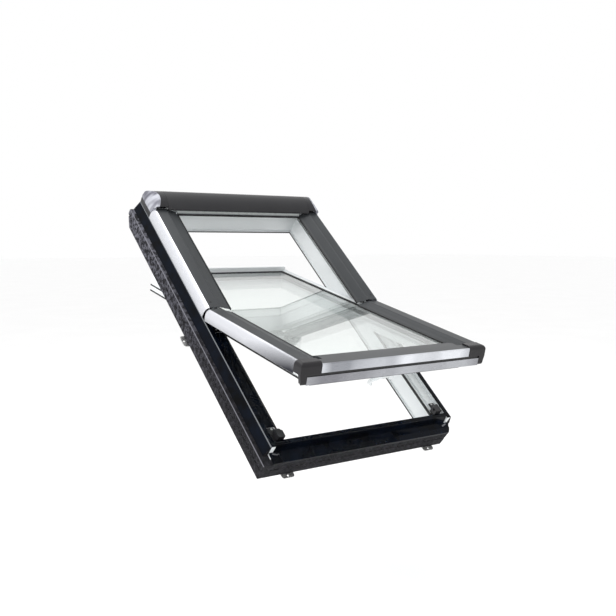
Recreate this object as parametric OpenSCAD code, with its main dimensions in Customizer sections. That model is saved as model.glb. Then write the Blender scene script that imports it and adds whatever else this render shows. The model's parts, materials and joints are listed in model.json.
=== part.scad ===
// Centre-pivot roof window: a plastic frame in its foam insulation collar, a
// glazed sash that turns about a level axis at mid-length, and metal weather
// covers, with hinges, locking rods, pull handle and fixing straps.
//
// Everything is drawn in the plane of the roof: u runs across the window, v up
// the slope from mid-length, w outwards from the tops of the covers.

/* [Window] */
// Width over the side covers
window_w = 740; // [660:20:1140]
// Length up the slope
window_l = 1180; // [980:20:1400]
// Depth from the tops of the covers to the room side of the frame
window_d = 140; // [136:1:170]
// Pitch of the roof
roof_pitch = 41; // [20:1:65]
// Angle at which the sash stands open
sash_open = 28.5; // [0:0.5:118]

/* [Frame] */
// Reveal of the frame, in from the outside of the covers
reveal_in = 62; // [60:1:66]
// Thickness of the foam collar at the sides
foam_side = 34; // [24:1:40]
// Thickness of the foam collar at the top and bottom
foam_end = 20; // [16:1:30]
// Chamfer under the top end of the foam collar
foam_chamfer = 40; // [20:1:44]
// Wall of the plastic profiles
wall = 3; // [2:0.5:4]

/* [Covers] */
// Thickness of the metal covers
sheet_t = 1.5; // [1:0.1:1.6]
// Highest point of the hood above the covers
hood_rise = 30; // [30:1:36]
// Width of a hood end cap
hood_cap_w = 58; // [50:1:70]

/* [Glass] */
// Thickness of one pane
pane_t = 4; // [3:1:5]
// Gap between the two panes
pane_gap = 16; // [12:1:16]

/* [Hinges and locks] */
// Distance of the pivot down the slope from the joint of the covers
pivot_down = 15; // [14:0.5:18]
// Depth of the pivot under the cover tops
pivot_deep = 8; // [7.5:0.1:8.5]
// Radius of the hinge pins
pin_r = 3; // [2.5:0.1:3.2]
// Radius of the locking rods
rod_r = 3.5; // [3:0.1:3.5]
// Angle at which the pull handle stands off the sash
handle_angle = 40; // [20:1:45]

/* [Fixing straps] */
// Thickness of a strap
strap_t = 3; // [2:0.5:4]
// Width of a strap
strap_w = 46; // [36:1:60]
// How far a strap stands out past the foam
strap_out = 15; // [12:1:30]
// Radius of a strap's roof screw hole
strap_hole_r = 3.5; // [2.5:0.5:4]

/* [Hidden] */
$fn = 48;
eps = 0.5;          // overshoot of cutting tools

// Colours
plastic_white = [0.90, 0.91, 0.91];
anthracite = [0.27, 0.29, 0.31];
bright_metal = [0.72, 0.74, 0.77];
gloss_black = [0.05, 0.055, 0.065];
foam_grey = [0.17, 0.17, 0.18];
rubber = [0.02, 0.02, 0.02];
steel = [0.55, 0.56, 0.58];
glass_tint = [0.80, 0.90, 0.88, 0.35];

// Lines across the window, measured from its middle
half_w = window_w / 2;
half_l = window_l / 2;
u_top = half_w - 15;                // outer edge of the flat cover tops
u_fold = half_w - 54;               // fold where the covers slope to the glass
u_lip = half_w - 98;                // inner edge of the covers
u_reveal = half_w - reveal_in;      // reveal of the frame
u_step = u_reveal + 14;             // step in the rebate
u_rebate = u_reveal + 44;           // side of the rebate
u_stile = half_w - 4;               // outside of the plastic frame
u_edge = u_stile + 2;               // outer edge of the cladding's top
u_foam = u_stile + foam_side;       // outside of the foam collar
u_flank = u_foam - 17;              // foot of the cladding's sloping flank
u_sash = u_reveal - 8;              // outside of the sash
u_glass = u_sash - 13;              // edge of the glass
u_room = u_sash - 38;               // sash opening on the room side

// Lines up the slope, measured from mid-length
v_head = half_l - 50;               // reveal at the head
v_sill = -(half_l - 70);            // reveal at the sill
v_frame = half_l - 12;              // top of the plastic frame
v_foot = -(half_l - 34);            // foot of the plastic frame
v_foam = v_frame + foam_end;        // top of the foam collar
v_foam_end = v_foot - foam_end;     // foot of the foam collar
v_stile_end = v_sill - 18;          // foot of the stiles' tops
v_mid = (v_foam + v_foam_end) / 2;
v_hood = half_l - 92;               // front edge of the hood
v_lip = half_l - 98;                // top edge of the visible glass
v_lip_end = -(half_l - 124);        // bottom edge of the visible glass
v_sash_top = v_head - 6;
v_sash_end = v_sill + 12;
v_glass_top = v_sash_top - 13;
v_glass_end = v_sash_end + 14;
v_room_top = v_sash_top - 50;
v_room_end = v_sash_end + 46;
v_front = -(half_l - 40);           // front of the sash bottom cover
v_caps = v_front + 36;              // where the corner caps start
sill_step = 9;                      // width of the sill's upstand
drip_leg = 8;                       // front leg of the sill cladding
v_joint = -4.5;                     // top ends of the sash covers
u_cap = half_w - 25;                // where a corner cap reaches down

// Levels, measured down from the cover tops
w_room = -window_d;                 // room side of the frame
w_lip = -15;                        // covers' inner edge
w_cladding = -45;                   // top of the plastic frame
w_shoulder = -80;                   // top of the foam outside the cladding
w_step = -56;
w_ledge = -62;
w_sill_drip = -75;                  // top of the sill in front of the sash
w_rim = -11;                        // highest edge of the sash's sides
w_upstand = 0;                      // top of the sash's upper rail, under the hood
w_sash = -16.7;                     // weather side of the sash beside the glass
w_glass = -19;                      // outer face of the glass
w_bottom = -4.5;                    // top of the sash's bottom cover
w_unit = w_glass - 2 * pane_t - pane_gap;
w_sash_room = -86;                  // room side of the sash
w_strap = w_room - strap_t;         // underside of the fixing straps
w_skirt = -40;                      // foot of the sash covers' skirts
w_front = -33.5;                    // foot of the sash's front face
w_shelf = -34;                      // foot of the corner caps beside the band
w_band_top = -42;                   // lower band of the sash front
w_band = -66;

// Hinges, locks and handle
pivot_v = -pivot_down;
pivot_w = -pivot_deep;
bush_r = pin_r + 1.1;
boss_r = bush_r + 1.6;
running_gap = 0.05;
arm_u = u_sash + 18;                // inner face of the upright hinge arm
arm_t = 5;
plate_u = arm_u + arm_t + 1.5;      // inner face of the frame's hinge lug
plate_t = 7;
rod_v = (v_sash_end + v_glass_end) / 2;
rod_w = -38;
keeper_u = u_reveal + 3;            // mouth of a lock keeper
keeper_end = keeper_u + 24;
rod_throw = 22;                     // travel of a locking rod
rod_tip = u_sash - 1;
case_half = 34;
case_t = 9.6;
handle_v = (v_sash_end + v_room_end) / 2;
handle_w = w_sash_room - 14;
handle_reach = 52;
handle_half = 30;
grip_r = 6;
axle_r = 2.5;

// Fixing straps
strap_side_v = -14;
strap_end_u = half_w - 80;
strap_in = 50;                      // length of strap under the frame and foam
screw_r = 2;
screw_head_r = 4.5;
screw_head_t = 2.6;
screw_len = 34;

// ---------- helpers ----------

// Roof plane to the part's own frame: the origin is the middle of the frame, at
// the level of the underside of the fixing straps.
module in_roof() {
    rotate([roof_pitch, 0, 0]) translate([0, -v_mid, -w_strap]) children();
}

// The sash, turned about its pivot.
module in_sash() {
    in_roof() translate([0, pivot_v, pivot_w]) rotate([-sash_open, 0, 0])
        translate([0, -pivot_v, -pivot_w]) children();
}

// Box between two values on each axis.
module box(u, v, w) {
    translate([u[0], v[0], w[0]]) cube([u[1] - u[0], v[1] - v[0], w[1] - w[0]]);
}

// Section drawn in u and w, run up the slope from v0 to v1.
module up_slope(v0, v1) {
    translate([0, v1, 0]) rotate([90, 0, 0]) linear_extrude(v1 - v0) children();
}

// Section drawn in v and w, run across the window from u0 to u1.
module across(u0, u1) {
    translate([u0, 0, 0]) rotate([90, 0, 90]) linear_extrude(u1 - u0) children();
}

// A right-hand piece, or its mirror image at the left.
module on_side(side) {
    mirror([side < 0 ? 1 : 0, 0, 0]) children();
}

// Rectangular ring: half width, ends, levels and thickness.
module ring(u, v, w, t) {
    difference() {
        box([-u, u], v, w);
        box([-u + t, u - t], [v[0] + t, v[1] - t], [w[0] - eps, w[1] + eps]);
    }
}

// Cylinder lying across the window.
module bar(u0, u1, v, w, r) {
    translate([u0, v, w]) rotate([0, 90, 0]) cylinder(h = u1 - u0, r = r);
}

// Upright cylinder, for screws and their holes.
module post(u, v, w0, w1, r) {
    translate([u, v, w0]) cylinder(h = w1 - w0, r = r);
}

function unit(a) = a / norm(a);
function left_normal(a, b) = let(d = unit(b - a)) [-d[1], d[0]];
function miter(p, i) = let(last = len(p) - 1,
    before = left_normal(p[max(i - 1, 0)], p[max(i, 1)]),
    after = left_normal(p[min(i, last - 1)], p[min(i + 1, last)]),
    m = unit(before + after)) m / (m * before);
// Outline of a bent sheet: the path, and the path moved t to its left.
function bent(p, t) = concat(p, [for (i = [len(p) - 1:-1:0]) p[i] + t * miter(p, i)]);
function arc(c, r, a0, a1, n) = [for (i = [0:n]) let(a = a0 + (a1 - a0) * i / n)
    c + r * [cos(a), sin(a)]];

// ---------- fixed frame ----------

module outer_frame() {
    color(plastic_white) in_roof() difference() {
        box([-u_stile, u_stile], [v_foot, v_frame], [w_room, w_cladding]);
        box([-u_reveal, u_reveal], [v_sill, v_head], [w_room - eps, w_cladding + eps]);
        box([-u_step, u_step], [v_sill, v_head], [w_ledge, w_cladding + eps]);
        box([-u_rebate, u_rebate], [v_sill, v_head], [w_step, w_cladding + eps]);
        // groove for the room lining
        box([-u_reveal - 5, u_reveal + 5], [v_sill - 5, v_head + 5],
            [w_room + 8, w_room + 18]);
        // the sill steps down in front of the sash
        box([-u_rebate, u_rebate], [v_foot - eps, v_sill - sill_step],
            [w_sill_drip - 2, w_cladding + eps]);
        box([-u_stile - eps, u_stile + eps], [v_foot - eps, v_stile_end],
            [w_sill_drip - 2, w_cladding + eps]);
        frame_chambers();
        strap_screw_holes();
    }
}

// Hollow chambers of the welded profiles: a ring all round, a second one above
// it in the stiles and the head, the slots that join them, and the drain slots.
module frame_chambers() {
    lower = [w_room + 28, w_sill_drip - 2 - wall];
    upper = [lower[1] + wall, w_ledge - wall];
    out_u = u_stile - wall;
    out_v = v_frame - wall;
    difference() {
        box([-out_u, out_u], [v_foot + wall, out_v], lower);
        box([-u_reveal - wall, u_reveal + wall], [v_sill - wall, v_head + wall],
            [lower[0] - eps, lower[1] + eps]);
    }
    for (s = [-1, 1]) on_side(s) {
        box([u_reveal + wall, out_u], [v_sill + wall, out_v], upper);
        box([u_stile - 30, u_stile - 22], [-30, 30], [lower[1] - eps, upper[0] + eps]);
        box([100, 130], [v_foot - eps, v_foot + wall + eps], [lower[0] + 6, lower[0] + 11]);
    }
    box([-u_reveal - wall - eps, u_reveal + wall + eps], [v_head + wall, out_v], upper);
}

// Black cladding of a stile: over its top, then sloping down over the foam.
module side_cladding(side) {
    color(gloss_black) in_roof() on_side(side) up_slope(v_stile_end, v_foam)
        polygon(bent([[u_rebate, w_cladding], [u_edge, w_cladding], [u_flank, w_shoulder]], 2));
}

// Black cladding of the sill: over the upstand that the sash shuts against, then
// down to a wide drip that runs out over the foam.
module sill_cladding() {
    over = [[v_sill + 2, w_step], [v_sill + 2, w_cladding + 2],
        [v_sill - sill_step - 2.4, w_cladding + 2], [v_sill - sill_step - 8, w_sill_drip + 4]];
    foot = [[v_foot, w_sill_drip + 1], [v_foam_end, w_sill_drip],
        [v_foam_end, w_sill_drip - drip_leg]];
    color(gloss_black) in_roof() difference() {
        union() {
            across(-u_rebate, u_rebate) polygon(bent(concat(over, foot), 2));
            for (s = [-1, 1]) on_side(s) across(u_rebate - 0.1, u_stile)
                polygon(bent(concat([[v_stile_end - 0.4, w_sill_drip + 3.8]], foot), 2));
        }
        foot_trim();
    }
}

// Trim under the hood, notched round the upper covers.
module head_trim() {
    color(bright_metal) in_roof() difference() {
        across(-u_fold, u_fold) polygon(bent([[v_frame - 12, w_cladding],
            [v_frame - 12, 4], [v_hood + 4, 4], [v_lip + 3, -6], [v_lip, w_lip]], 2));
        for (s = [-1, 1]) on_side(s)
            box([u_lip - running_gap, u_fold + eps], [v_lip - 3, v_hood + 6.2], [-20, 6]);
    }
}

// Side bar of the foam collar, with the moulded groove along its outside. Its
// upper part fills the space under the cladding's flank.
module side_foam(side) {
    color(foam_grey) in_roof() difference() {
        on_side(side) union() {
            up_slope(v_foam_end, v_foam)
                polygon([[u_stile, w_room], [u_foam - 3, w_room], [u_foam, w_room + 4],
                    [u_foam, -108], [u_foam - 3, -106.5], [u_foam - 3, -104],
                    [u_foam - 0.5, -102.5], [u_foam - 0.5, w_shoulder - 2],
                    [u_foam - 3, w_shoulder], [u_stile, w_shoulder]]);
            up_slope(v_stile_end, v_foam) polygon([[u_stile, w_shoulder - 0.1],
                [u_flank, w_shoulder - 0.1], [u_flank, w_shoulder], [u_edge, w_cladding],
                [u_stile, w_cladding]]);
        }
        top_chamfer();
        foot_trim();
    }
}

// Cutter for the sloping underside at the top end of the collar.
module top_chamfer() {
    across(-u_foam - eps, u_foam + eps) polygon([[v_foam - foam_chamfer, w_room],
        [v_foam - foam_chamfer, w_room - eps], [v_foam + eps, w_room - eps],
        [v_foam + eps, w_room + foam_chamfer + eps]]);
}

// Cutter for the rounded right-hand corner at the foot of the collar.
module foot_trim() {
    far = u_foam + 1;
    translate([0, 0, w_room - eps]) linear_extrude(-w_room)
        polygon([[far, v_stile_end + 26], [u_foam - 10, v_stile_end + 10],
            [u_stile + 5, v_foot + 4], [u_stile + 1, v_foot - 1],
            [u_stile - 7, v_foam_end + 8], [u_stile - 15, v_foam_end - 1],
            [far, v_foam_end - 1]]);
}

module insulation_top() {
    color(foam_grey) in_roof() difference() {
        box([-u_stile, u_stile], [v_frame, v_foam], [w_room, w_cladding - 4]);
        top_chamfer();
    }
}

module insulation_bottom() {
    color(foam_grey) in_roof() difference() {
        box([-u_stile, u_stile], [v_foam_end, v_foot], [w_room, w_sill_drip - 2]);
        box([-u_stile - eps, u_stile + eps], [v_foam_end - eps, v_foam_end + 3],
            [-108, -104]);
        box([-u_stile - eps, u_stile + eps], [v_foam_end - eps, v_foam_end + 2.2],
            [w_sill_drip - drip_leg - 0.2, w_sill_drip]);
        foot_trim();
    }
}

// Section shared by all four side covers, down to a skirt that ends at w_foot.
module cover_section(w_foot) {
    polygon(bent([[half_w, w_foot], [half_w, -24], [half_w - 2, -14], [half_w - 6, -7],
        [half_w - 11, -2], [u_top, 0], [u_fold, 0], [u_fold - 3, -2.4],
        [u_fold - 17, -5.4], [u_fold - 20, -7.8], [u_fold - 33, -10.6],
        [u_lip + 5, -12.4], [u_lip, w_lip]], sheet_t));
}

module upper_cover(side) {
    color(anthracite) in_roof() on_side(side) difference() {
        up_slope(0, v_hood + 6) cover_section(w_cladding + 2);
        cover_screw_hole(24);
    }
}

module cover_screw_hole(v) {
    post(u_top - 12, v, -sheet_t - eps, eps, screw_r);
}

// Curve of the hood, set back by a given amount: its front lip, its crown and
// its rounded back.
function hood_path(back) = let(crown_r = 72, back_r = 18, turn = 43,
    c = [half_l - 47, hood_rise - crown_r],
    c2 = c + (crown_r - back_r) * [cos(turn), sin(turn)],
    front = c + (crown_r - back) * [cos(136), sin(136)])
    concat([[v_hood + 2 + back, 4.2], front - [1, 4.5]],
        arc(c, crown_r - back, 136, turn, 24), arc(c2, back_r - back, turn - 8, 0, 6),
        [[half_l + 6 - back, -36]]);

module hood() {
    color(anthracite) in_roof() across(-half_w + hood_cap_w, half_w - hood_cap_w)
        polygon(bent(hood_path(0), -2));
}

// Plastic end cap of the hood: a shell that carries the hood's curve on to its
// end, where the side leans in towards the crest.
module hood_cap(side) {
    inner = half_w - hood_cap_w + 0.6;
    shell = 2.5;
    color(anthracite) in_roof() on_side(side) difference() {
        cap_body(inner, 0);
        cap_body(inner - eps, shell);
        box([inner - eps, half_w - 15], [v_hood + 5, v_hood + 10], [-43, 4.2]);
    }
}

// Solid of a cap, set back by a given amount on every side.
module cap_body(inner, back) {
    low = -42 - (back > 0 ? eps : 0);
    step = v_hood + 6.6 + back;
    side = half_w - back;
    lean = 28;
    intersection() {
        across(inner, half_w) polygon(concat(hood_path(back), [[half_l + 6 - back, low],
            [step, low], [step, 4.2]]));
        up_slope(v_hood, half_l + 7) polygon([[inner, low], [side, low], [side, -10],
            [side - 3, 0], [side - 12, 14], [side - lean, hood_rise + 1 - back],
            [inner, hood_rise + 1 - back]]);
    }
}

module upper_cover_seal() {
    color(rubber) in_roof() {
        for (s = [-1, 1]) on_side(s)
            box([u_lip - 3.5, u_lip], [0.5, v_lip], [w_glass + 0.4, w_lip + 2]);
        box([-u_lip, u_lip], [v_lip - 3.5, v_lip], [w_glass + 0.4, w_lip + 2]);
    }
}

// Seal round the lower half of the rebate.
module frame_seal() {
    color(rubber) in_roof() {
        for (s = [-1, 1]) on_side(s) difference() {
            box([u_reveal - 3, u_reveal + 3], [v_sill + 2, pivot_v - 30],
                [w_ledge - 4, w_ledge + 3]);
            box([u_reveal, u_reveal + 4], [v_sill - 1, pivot_v], [w_ledge - 5, w_ledge]);
        }
        box([-u_reveal, u_reveal], [v_sill, v_sill + 2], [w_ledge - 4, w_ledge + 1]);
    }
}

// Thin seal round the room edge of the reveal.
module lining_seal() {
    color(rubber) in_roof() difference() {
        box([-u_reveal, u_reveal], [v_sill, v_head], [w_room + 1, w_room + 5]);
        box([-u_reveal + 2, u_reveal - 2], [v_sill + 2, v_head - 2], [w_room, w_room + 6]);
    }
}

// Frame half of a hinge: a foot on the rebate and a lug that holds the bush.
module hinge_plate(side) {
    foot = [w_step, w_step + 4];
    color(gloss_black) in_roof() on_side(side) difference() {
        union() {
            box([plate_u, u_rebate - 4], [pivot_v - 48, pivot_v + 60], foot);
            frame_lug(foot[1] - 1, 16);
        }
        bar(plate_u - eps, plate_u + plate_t + eps, pivot_v, pivot_w, bush_r);
    }
}

// Upright lug between the foot and the pivot. Its neck leans down the slope, to
// let the end of the sash cover swing past when the sash is turned right over.
module frame_lug(w_foot, half) {
    reach = boss_r - 0.6;
    bar(plate_u, plate_u + plate_t, pivot_v, pivot_w, boss_r);
    across(plate_u, plate_u + plate_t) polygon([[pivot_v - half, w_foot],
        [pivot_v + half, w_foot], [pivot_v + 6, pivot_w - 17], [pivot_v - 1, pivot_w - 15.2],
        [pivot_v - 1, pivot_w - 3], [pivot_v - reach, pivot_w - 1.5],
        [pivot_v - 9, pivot_w - 14]]);
}

module hinge_bush(side) {
    color([0.35, 0.35, 0.33]) in_roof() on_side(side) difference() {
        bar(plate_u, plate_u + plate_t, pivot_v, pivot_w, bush_r);
        bar(plate_u - eps, plate_u + plate_t + eps, pivot_v, pivot_w, pin_r + running_gap);
    }
}

// Keeper on the rebate that takes the end of a locking rod.
module lock_keeper(side) {
    color(gloss_black) in_roof() on_side(side) difference() {
        union() {
            box([u_step, u_rebate - 8], [v_sill + 6, v_sill + 56], [w_step, w_step + 4]);
            box([keeper_u, keeper_end], [v_sill + 6, v_sill + 30], [w_step, rod_w + 5.5]);
            bar(keeper_u + 6, keeper_end, v_sill + 32, rod_w - 2.5, 8);
        }
        bar(keeper_u - eps, keeper_u + 16, rod_v, rod_w, rod_r + 1);
    }
}

// ---------- fixing straps ----------

// Strap that runs out past the foam, drawn with its outer end towards +u.
module strap(u_edge) {
    outer = u_edge + strap_out;
    hole_u = outer - strap_out / 2;
    color(steel) difference() {
        union() {
            box([u_edge - strap_in, outer - 8], [-strap_w / 2, strap_w / 2], [w_strap, w_room]);
            box([outer - 8.01, outer], [-strap_w / 2 + 8, strap_w / 2 - 8], [w_strap, w_room]);
            for (s = [-1, 1])
                post(outer - 8, s * (strap_w / 2 - 8), w_strap, w_room, 8);
        }
        post(hole_u, 0, w_strap - eps, w_room + eps, strap_hole_r);
        for (s = [-1, 1])
            post(u_edge - strap_in + 9, s * 13, w_strap - eps, w_room + eps, screw_r);
    }
}

// Places a strap at one of its six stations.
module strap_at(station) {
    if (station == "left") translate([0, strap_side_v, 0]) mirror([1, 0, 0]) children();
    if (station == "right") translate([0, strap_side_v, 0]) children();
    if (station == "bottom_left") translate([-strap_end_u, 0, 0]) rotate([0, 0, -90]) children();
    if (station == "bottom_right") translate([strap_end_u, 0, 0]) rotate([0, 0, -90]) children();
    if (station == "top_left") translate([-strap_end_u, 0, 0]) rotate([0, 0, 90]) children();
    if (station == "top_right") translate([strap_end_u, 0, 0]) rotate([0, 0, 90]) children();
}

side_stations = ["left", "right"];
end_stations = ["bottom_left", "bottom_right", "top_left", "top_right"];

// Puts a pair of children at the two screws of every strap.
module at_strap_screws() {
    for (st = side_stations) strap_at(st) for (s = [-1, 1])
        translate([u_foam - strap_in + 9, s * 13, 0]) children();
    for (st = end_stations) strap_at(st) for (s = [-1, 1])
        translate([(st[0] == "b" ? -v_foam_end : v_foam) - strap_in + 9, s * 13, 0])
            children();
}

module strap_screw_holes() {
    at_strap_screws() post(0, 0, w_room - eps, w_room + screw_len, screw_r);
}

module strap_screws() {
    color(steel) in_roof() at_strap_screws() union() {
        post(0, 0, w_strap, w_room + screw_len - 2, screw_r - running_gap);
        translate([0, 0, w_strap - screw_head_t])
            cylinder(h = screw_head_t, r1 = screw_head_r - 1.4, r2 = screw_head_r);
    }
}

// Countersunk screws that hold the four side covers.
module cover_screws() {
    color(rubber) in_roof() for (s = [-1, 1]) on_side(s) union() {
        post(u_top - 12, 24, -12, 0, screw_r - running_gap);
        post(u_top - 12, 24, 0, 0.8, screw_head_r - 1);
    }
}

// ---------- sash ----------

module sash_frame() {
    pocket = w_unit - 0.2;
    color(plastic_white) in_sash() difference() {
        union() {
            box([-u_sash, u_sash], [v_sash_end, v_sash_top], [w_sash_room, w_sash]);
            for (s = [-1, 1]) on_side(s) up_slope(v_sash_end, v_sash_top)
                polygon([[u_glass + 1, w_sash - 1], [u_sash, w_sash - 1], [u_sash, w_rim],
                    [u_sash - 2, w_rim], [u_glass + 1, w_sash]]);
            box([-u_sash, u_sash], [v_glass_top + 2, v_sash_top], [w_sash - 1, w_upstand]);
        }
        box([-u_room, u_room], [v_room_end, v_room_top], [w_sash_room - eps, w_rim + eps]);
        box([-u_glass - 1, u_glass + 1], [v_glass_end - 1, v_glass_top + 1],
            [pocket, w_rim + eps]);
        sash_chambers(pocket);
        // bores for the locking rods, and the pocket of their case
        bar(-u_sash - eps, u_sash + eps, rod_v, rod_w, rod_r + running_gap);
        box([-case_half, case_half], [rod_v - case_t / 2, rod_v + case_t / 2],
            [rod_w - 12, w_rim + eps]);
    }
}

module sash_chambers(pocket) {
    level = [w_sash_room + wall, pocket - wall];
    for (s = [-1, 1]) on_side(s)
        box([u_room + wall, u_sash - wall], [v_room_end, v_room_top], level);
    box([-u_room, u_room], [v_room_top + wall, v_sash_top - wall], level);
    box([-u_room, u_room], [v_sash_end + wall, v_room_end - wall], level);
}

module pane(w0) {
    color(glass_tint) in_sash()
        box([-u_glass, u_glass], [v_glass_end, v_glass_top], [w0, w0 + pane_t]);
}

module spacer_bar() {
    inset = 6;
    color(bright_metal) in_sash() ring(u_glass - inset, [v_glass_end + inset,
        v_glass_top - inset], [w_unit + pane_t, w_glass - pane_t], 7);
}

module edge_sealant() {
    color(rubber) in_sash() ring(u_glass, [v_glass_end, v_glass_top],
        [w_unit + pane_t, w_glass - pane_t], 6);
}

// Black seal between the glass and the sash, on the weather side.
module glazing_seal() {
    color(rubber) in_sash() ring(u_glass + 1, [v_glass_end - 1, v_glass_top + 1],
        [w_glass, w_sash], 11);
}

module sash_cover(side) {
    color(anthracite) in_sash() on_side(side)
        up_slope(v_caps, v_joint) cover_section(w_skirt);
}

// Front edge of the sash: the cover that runs down from the glass. Beside the side
// covers it is notched, and a thin cheek closes each notch.
module bottom_cover() {
    half = u_room + 34;
    down = [[v_lip_end - 26, w_bottom], [v_lip_end - 9, w_bottom - 4.5], [v_lip_end, w_lip]];
    color(bright_metal) in_sash() {
        difference() {
            across(-half, half) polygon(bent(concat([[v_front + 8, w_front],
                [v_front, w_front], [v_front, w_bottom - 4], [v_front + 1.5, w_bottom - 1],
                [v_front + 4, w_bottom]], down), -sheet_t));
            for (s = [-1, 1]) on_side(s)
                box([u_lip, half + eps], [v_caps - 0.2, v_lip_end + 3], [-20, 0]);
        }
        for (s = [-1, 1]) on_side(s) across(u_lip - sheet_t, u_lip)
            polygon(concat([[v_caps - 0.2, w_lip], [v_caps - 0.2, w_bottom - 0.2]],
                [for (p = down) p - [0.2, 0.2]]));
    }
}

// Black strip in the groove between the front face and the lower band.
module bottom_groove_seal() {
    color(rubber) in_sash() across(-u_cap + 0.4, u_cap - 0.4)
        polygon([[v_front + 3, w_band_top], [v_front + 5, w_band_top],
            [v_front + 5, w_shelf], [v_front + 3, w_shelf]]);
}

// Lower band of the sash front, notched at the back to pass the lock keepers.
module bottom_band() {
    color(bright_metal) in_sash() difference() {
        across(-u_cap + 0.4, u_cap - 0.4) polygon(bent([[v_front + 5, w_band],
            [v_front, w_band], [v_front, w_band_top], [v_front + 5, w_band_top],
            [v_front + 5, w_shelf], [v_sash_end, w_shelf]], -2));
        for (s = [-1, 1]) on_side(s)
            box([u_sash + 3, u_cap], [v_sill + 2, v_sash_end + eps], [w_band, w_shelf + eps]);
    }
}

// Plastic cap over the corner where the side and bottom covers meet. It is a
// shell with rounded edges, and its outer part reaches down beside the band.
module corner_cap(side) {
    inner = u_room + 34;
    r = 14;
    rise = 0.5;
    shell = 5;
    nose = v_front - 0.5;
    color(anthracite) in_sash() on_side(side) difference() {
        intersection() {
            across(inner + 0.4, half_w) polygon(concat([[v_caps, w_shelf],
                [nose + 11, w_shelf], [nose + 11, w_band]],
                arc([nose + 8, w_band + 8], 8, 270, 180, 4),
                arc([nose + r, rise - r], r, 180, 90, 8), [[v_caps, rise]]));
            up_slope(nose, v_caps) polygon(concat([[inner, rise], [inner, w_shelf],
                [u_cap, w_shelf], [u_cap, w_band]],
                arc([u_stile - 7, w_band + 6], 6, 270, 360, 4), [[half_w, w_shelf]],
                arc([half_w - r, rise - r], r, 0, 90, 8)));
        }
        box([inner - eps, half_w - shell], [nose + shell, v_caps + eps],
            [w_band - eps, rise - shell]);
    }
}

// Seal under the inner edges of the sash covers.
module sash_cover_seal() {
    color(rubber) in_sash() {
        for (s = [-1, 1]) on_side(s)
            box([u_lip - 3.5, u_lip], [v_lip_end, v_joint], [w_glass, w_lip + 1.5]);
        box([-u_lip, u_lip], [v_lip_end, v_lip_end + 3.5], [w_glass, w_lip + 1.5]);
    }
}

module sash_seal(w) {
    difference() {
        box([-u_sash - 2.5, u_sash + 2.5], [v_sash_end - 2.5, v_sash_top + 2.5], w);
        box([-u_sash, u_sash], [v_sash_end, v_sash_top], [w[0] - eps, w[1] + eps]);
    }
}

module sash_seal_outer() {
    color(rubber) in_sash() sash_seal([w_ledge - 2, w_ledge + 3]);
}

module sash_seal_room() {
    color(rubber) in_sash() sash_seal([w_sash_room + 1, w_sash_room + 6]);
}

// Sash half of a hinge: a plate on the sash's side, a shelf and an upright arm.
module hinge_arm(side) {
    shelf = [-44, -38];
    reach = boss_r - 0.6;
    color(gloss_black) in_sash() on_side(side) difference() {
        union() {
            box([u_sash, u_sash + 4], [pivot_v - 44, pivot_v + 60], [-54, -30]);
            box([u_sash + 3.9, arm_u + arm_t], [pivot_v - 16, pivot_v + 16], shelf);
            bar(arm_u, arm_u + arm_t, pivot_v, pivot_w, boss_r);
            across(arm_u, arm_u + arm_t) polygon([[pivot_v - 14, shelf[1] - 1],
                [pivot_v + 14, shelf[1] - 1], [pivot_v + reach, pivot_w - 1.5],
                [pivot_v - reach, pivot_w - 1.5]]);
        }
        bar(arm_u - eps, arm_u + arm_t + eps, pivot_v, pivot_w, pin_r);
    }
}

module hinge_pin(side) {
    color(steel) in_sash() on_side(side)
        bar(arm_u, plate_u + plate_t + 2, pivot_v, pivot_w, pin_r);
}

// ---------- locking rods and handle ----------

module lock_case() {
    color(steel) in_sash() difference() {
        box([-case_half, case_half], [rod_v - case_t / 2, rod_v + case_t / 2],
            [rod_w - 12, w_sash - 4]);
        bar(-case_half - eps, case_half + eps, rod_v, rod_w, rod_r + running_gap);
    }
}

module lock_rod(side) {
    color(steel) in_sash() on_side(side)
        bar(6, rod_tip, rod_v, rod_w, rod_r);
}

module handle_base() {
    plate = [w_sash_room - 5, w_sash_room];
    color(plastic_white) in_sash() difference() {
        union() {
            box([-handle_half - 18, handle_half + 18], [handle_v - 17, handle_v + 17], plate);
            for (s = [-1, 1]) on_side(s) {
                bar(handle_half - 7, handle_half - 1, handle_v, handle_w, 6);
                box([handle_half - 7, handle_half - 1], [handle_v - 6, handle_v + 6],
                    [handle_w, plate[0] + 1]);
            }
        }
        bar(-handle_half, handle_half, handle_v, handle_w, axle_r);
    }
}

module handle_axle() {
    color(steel) in_sash() bar(-handle_half - 6, handle_half + 6, handle_v, handle_w, axle_r);
}

// Bow handle: two arms from the axle to a rounded grip.
module handle_lever() {
    color(plastic_white) in_sash() translate([0, handle_v, handle_w])
        rotate([-handle_angle, 0, 0]) difference() {
            union() {
                for (s = [-1, 1]) on_side(s) {
                    bar(handle_half + 0.5, handle_half + 6, 0, 0, 6.5);
                    box([handle_half + 0.5, handle_half + 6], [0, handle_reach], [-5, 5]);
                }
                bar(-handle_half - 6, handle_half + 6, handle_reach, 0, grip_r);
                box([-handle_half - 6, handle_half + 6], [handle_reach - 12, handle_reach],
                    [-5, 1]);
            }
            bar(-handle_half - 7, handle_half + 7, 0, 0, axle_r + running_gap);
        }
}

// ---------- nodes ----------

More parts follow.
